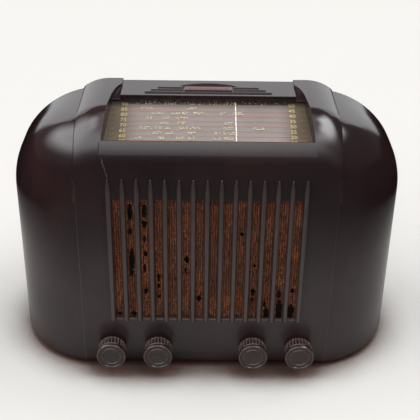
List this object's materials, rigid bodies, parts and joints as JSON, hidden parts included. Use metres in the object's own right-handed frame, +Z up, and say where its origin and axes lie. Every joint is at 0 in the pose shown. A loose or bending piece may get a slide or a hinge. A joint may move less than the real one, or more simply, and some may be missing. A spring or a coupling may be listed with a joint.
{
  "type": "tabletop radio",
  "caption": "Tabletop valve radio in a rounded dark moulded cabinet, with a sloping dial in its top, an upright-barred grille and a row of knobs.",
  "frame": {"origin": "on the table under the middle of the set's bounding box, knobs included", "axes": "+X to the right of a listener in front, +Y into the set away from the listener, +Z up"},
  "size_m": [0.369, 0.2008, 0.2621],
  "materials": {
    "bakelite": "polished moulded phenolic",
    "knob": "polished moulded phenolic",
    "badge": "satin plate",
    "glass": "printed and smoked",
    "cloth": "woven",
    "board": "pressed fibre board",
    "cone": "moulded paper",
    "steel": "plated",
    "cast": "dark enamel",
    "magnet": "dark enamel",
    "aluminium": "plain",
    "brass": "plain",
    "varnished": "varnished laminations",
    "envelope": "getter-darkened",
    "phenolic": "moulded phenolic",
    "lamp": "clear",
    "pointer": "painted",
    "thread": "braided",
    "rubber": "plain"
  },
  "bodies": {
    "set": {"cabinet_front": "bakelite", "cabinet_rear": "bakelite", "badge": "badge", "dial_glass": "glass", "dial_backplate": "steel", "pointer_rail": "steel", "dial_lamp_left": "lamp", "dial_lamp_right": "lamp", "drive_cord": "thread", "gang_stator": "aluminium", "gang_frame": "steel", "speaker_cloth": "cloth", "baffle_board": "board", "speaker_frame": "cast", "speaker_cone": "cone", "speaker_magnet": "magnet", "chassis": "steel", "mains_transformer": "varnished", "output_transformer": "varnished", "if_can_1": "aluminium", "if_can_2": "aluminium", "smoothing_capacitor": "aluminium", "aerial_earth_strip": "phenolic", "mains_inlet": "phenolic", "mixer_socket": "phenolic", "mixer_valve": "envelope", "if_amplifier_socket": "phenolic", "if_amplifier_valve": "envelope", "detector_socket": "phenolic", "detector_valve": "envelope", "output_socket": "phenolic", "output_valve": "envelope", "rectifier_socket": "phenolic", "rectifier_valve": "envelope", "volume_control": "cast", "tone_control": "cast", "wavechange_switch": "phenolic", "foot_front_left": "rubber", "foot_front_right": "rubber", "foot_rear_left": "rubber", "foot_rear_right": "rubber", "cover_screw_low_left": "brass", "cover_screw_low_right": "brass", "cover_screw_high_left": "brass", "cover_screw_high_right": "brass", "chassis_bolt_left": "steel", "chassis_bolt_right": "steel"},
    "volume_turning": {"volume_knob": "knob", "volume_shaft": "steel"},
    "tone_turning": {"tone_knob": "knob", "tone_shaft": "steel"},
    "wavechange_turning": {"wavechange_knob": "knob", "wavechange_shaft": "steel"},
    "tuning_turning": {"tuning_knob": "knob", "tuning_spindle": "steel"},
    "gang_turning": {"drive_drum": "aluminium", "gang_rotor": "aluminium"},
    "pointer_sliding": {"pointer": "pointer"},
    "pulley_left_turning": {"pulley_left": "brass"},
    "pulley_right_turning": {"pulley_right": "brass"}
  },
  "joints": [
    {"name": "volume_turn", "type": "hinge", "parent": "set", "child": "volume_turning", "pos_m": [-0.09, -0.0816, 0.0262], "axis": [0, 1, 0], "range_deg": [0, 300]},
    {"name": "tone_turn", "type": "hinge", "parent": "set", "child": "tone_turning", "pos_m": [-0.0455, -0.0816, 0.0262], "axis": [0, 1, 0], "range_deg": [-150, 150]},
    {"name": "wavechange_turn", "type": "hinge", "parent": "set", "child": "wavechange_turning", "pos_m": [0.0455, -0.0816, 0.0262], "axis": [0, 1, 0], "range_deg": [-30, 30]},
    {"name": "gang_turn", "type": "hinge", "parent": "set", "child": "gang_turning", "pos_m": [0.105, -0.0406, 0.125], "axis": [0, 1, 0], "range_deg": [-117, 58]},
    {"name": "tuning_turn", "type": "hinge", "parent": "set", "child": "tuning_turning", "pos_m": [0.09, -0.0816, 0.0262], "axis": [0, 1, 0], "range_deg": [-1423, 706]},
    {"name": "pointer_slide", "type": "slide", "parent": "set", "child": "pointer_sliding", "axis": [1, 0, 0], "range_m": [-0.0993, 0.0493]},
    {"name": "pulley_left_turn", "type": "hinge", "parent": "set", "child": "pulley_left_turning", "pos_m": [-0.088, -0.0406, 0.231], "axis": [0, 1, 0], "range_deg": [-965, 479]},
    {"name": "pulley_right_turn", "type": "hinge", "parent": "set", "child": "pulley_right_turning", "pos_m": [0.088, -0.0406, 0.231], "axis": [0, 1, 0], "range_deg": [-965, 479]}
  ],
  "couplings": [
    {"joint": "tuning_turn", "follows": "gang_turn", "ratio": 12.15},
    {"joint": "pointer_slide", "follows": "gang_turn", "m_per_rad": 0.0486},
    {"joint": "pulley_left_turn", "follows": "gang_turn", "ratio": 8.2373},
    {"joint": "pulley_right_turn", "follows": "gang_turn", "ratio": 8.2373}
  ]
}
